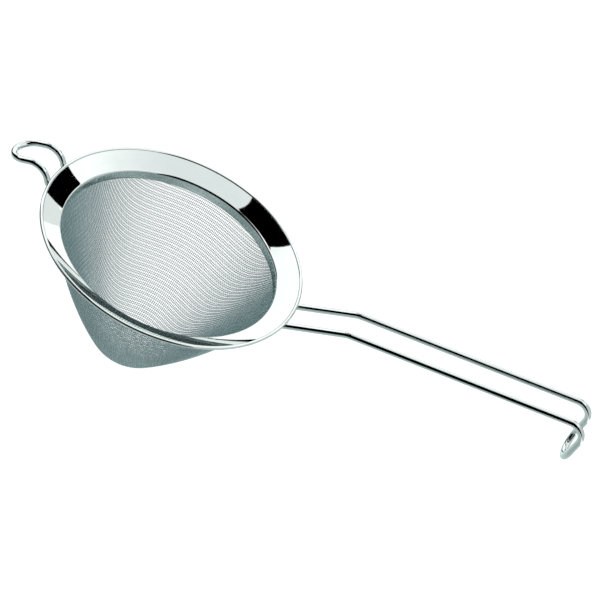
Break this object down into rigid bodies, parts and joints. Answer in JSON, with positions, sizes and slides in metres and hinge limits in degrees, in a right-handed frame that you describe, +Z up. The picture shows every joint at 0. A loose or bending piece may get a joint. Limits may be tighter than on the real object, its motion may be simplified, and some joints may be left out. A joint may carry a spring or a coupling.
{
  "type": "tea strainer",
  "caption": "Cone-shaped tea strainer of fine wire cloth in a wide dished steel collar, with a wire handle ending in a hook and a wire rest loop opposite.",
  "frame": {"origin": "centre of the collar's outer edge, at its highest level", "axes": "+Z up along the cone's axis, out of the mouth; +X along the handle, from the cone to the hook"},
  "size_m": [0.2723, 0.12, 0.106],
  "materials": {
    "mirror_sheet": "mirror-polished stainless steel sheet",
    "wire_cloth": "fine woven stainless steel wire cloth",
    "ring_steel": "plain stainless steel strip, pressed tight",
    "bright_wire": "bright drawn stainless steel wire",
    "weld_metal": "weld metal, slightly darkened"
  },
  "bodies": {
    "root": {"rim_collar": "mirror_sheet", "mesh_pouch": "wire_cloth", "clamp_ring": "ring_steel", "handle_wire": "bright_wire", "rest_loop": "bright_wire", "handle_weld_left": "weld_metal", "handle_weld_right": "weld_metal", "rest_weld_left": "weld_metal", "rest_weld_right": "weld_metal"}
  },
  "joints": []
}
